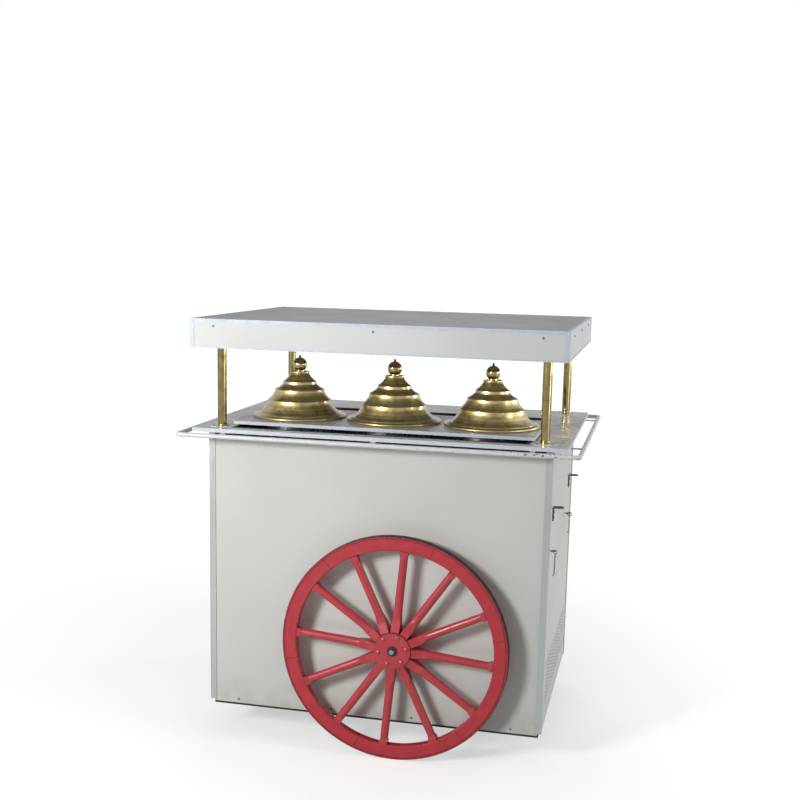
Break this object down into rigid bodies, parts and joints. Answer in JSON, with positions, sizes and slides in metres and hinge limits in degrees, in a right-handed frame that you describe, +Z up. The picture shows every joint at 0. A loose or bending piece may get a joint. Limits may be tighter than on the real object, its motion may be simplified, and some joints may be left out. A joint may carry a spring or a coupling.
{
  "type": "ice cream cart",
  "caption": "Panelled serving cart with spoked wheels, swivel castors, covered ice cream cans, a bumper rail and a flat canopy on brass columns.",
  "frame": {"origin": "on the floor, under the middle of the cart", "axes": "+X along the cart to its right end, +Y to the rear, +Z up"},
  "size_m": [1.222, 0.918, 1.31],
  "materials": {
    "black_steel": "satin",
    "aluminium": "satin",
    "laminate": "gloss",
    "counter_grey": "semi-gloss",
    "pale_trim": "satin",
    "steel": "satin",
    "brass": "polished",
    "white_paint": "gloss",
    "rusty_steel": "matte",
    "dark_steel": "satin",
    "red_paint": "satin",
    "iron_tyre": "matte",
    "black_bush": "satin",
    "castor_rubber": "matte",
    "tub_plastic": "matte",
    "condenser_metal": "satin",
    "fan_plastic": "satin"
  },
  "bodies": {
    "cart": {"inner_frame": "black_steel", "base_board": "black_steel", "corner_posts": "aluminium", "front_panel": "laminate", "rear_panel": "laminate", "left_panel": "laminate", "right_panel": "laminate", "counter_top": "counter_grey", "counter_trim": "aluminium", "cutout_trim": "pale_trim", "can_plate": "counter_grey", "can_plate_trim": "aluminium", "can_left": "steel", "can_middle": "steel", "can_right": "steel", "columns": "brass", "column_flanges": "white_paint", "canopy_fascias": "laminate", "canopy_sheets": "counter_grey", "canopy_angles": "aluminium", "canopy_battens": "aluminium", "rail": "white_paint", "shelf_brackets": "rusty_steel", "hook_eyes": "dark_steel", "canopy_screws": "steel", "cabinet_screws": "steel", "counter_screws": "steel", "castor_screws": "steel", "axle": "steel", "bearing_plates": "black_steel", "axle_collars": "black_steel", "castor_plates": "steel", "tub": "tub_plastic", "compressor": "black_steel", "condenser": "condenser_metal", "fan_motor": "black_steel"},
    "front_wheel": {"front_rim": "red_paint", "front_spokes": "red_paint", "front_tyre": "iron_tyre", "front_hub_plates": "red_paint", "front_bush": "black_bush"},
    "rear_wheel": {"rear_rim": "red_paint", "rear_spokes": "red_paint", "rear_tyre": "iron_tyre", "rear_hub_plates": "red_paint", "rear_bush": "black_bush"},
    "lid_left_body": {"lid_left": "brass", "knob_left": "brass"},
    "lid_middle_body": {"lid_middle": "brass", "knob_middle": "brass"},
    "lid_right_body": {"lid_right": "brass", "knob_right": "brass"},
    "hook_front_body": {"hook_front": "dark_steel"},
    "hook_rear_body": {"hook_rear": "dark_steel"},
    "castor_swivel_front": {"castor_fork_front": "steel"},
    "castor_swivel_rear": {"castor_fork_rear": "steel"},
    "castor_roll_front": {"castor_wheel_front": "castor_rubber"},
    "castor_roll_rear": {"castor_wheel_rear": "castor_rubber"},
    "fan": {"fan_blades": "fan_plastic"}
  },
  "joints": [
    {"name": "front_wheel_spin", "type": "hinge", "parent": "cart", "child": "front_wheel", "pos_m": [0.08, -0.4207, 0.3465], "axis": [0, 1, 0], "continuous": true},
    {"name": "rear_wheel_spin", "type": "hinge", "parent": "cart", "child": "rear_wheel", "pos_m": [0.08, 0.4207, 0.3465], "axis": [0, 1, 0], "continuous": true},
    {"name": "lid_left_lift", "type": "slide", "parent": "cart", "child": "lid_left_body", "axis": [0, 0, 1], "range_m": [0, 0.03]},
    {"name": "lid_middle_lift", "type": "slide", "parent": "cart", "child": "lid_middle_body", "axis": [0, 0, 1], "range_m": [0, 0.03]},
    {"name": "lid_right_lift", "type": "slide", "parent": "cart", "child": "lid_right_body", "axis": [0, 0, 1], "range_m": [0, 0.03]},
    {"name": "castor_front_swivel", "type": "hinge", "parent": "cart", "child": "castor_swivel_front", "pos_m": [-0.4, -0.085, 0.0817], "axis": [0, 0, 1], "continuous": true},
    {"name": "castor_front_roll", "type": "hinge", "parent": "castor_swivel_front", "child": "castor_roll_front", "pos_m": [-0.374, -0.085, 0.0325], "axis": [0, 1, 0], "continuous": true},
    {"name": "castor_rear_swivel", "type": "hinge", "parent": "cart", "child": "castor_swivel_rear", "pos_m": [-0.4, 0.085, 0.0817], "axis": [0, 0, 1], "continuous": true},
    {"name": "castor_rear_roll", "type": "hinge", "parent": "castor_swivel_rear", "child": "castor_roll_rear", "pos_m": [-0.374, 0.085, 0.0325], "axis": [0, 1, 0], "continuous": true},
    {"name": "hook_front_swing", "type": "hinge", "parent": "cart", "child": "hook_front_body", "pos_m": [0.5387, -0.325, 0.659], "axis": [0, -1, 0], "range_deg": [0, 85]},
    {"name": "hook_rear_swing", "type": "hinge", "parent": "cart", "child": "hook_rear_body", "pos_m": [0.5387, 0.16, 0.667], "axis": [0, -1, 0], "range_deg": [0, 85]},
    {"name": "fan_spin", "type": "hinge", "parent": "cart", "child": "fan", "pos_m": [0.38, 0, 0.219], "axis": [1, 0, 0], "continuous": true}
  ]
}
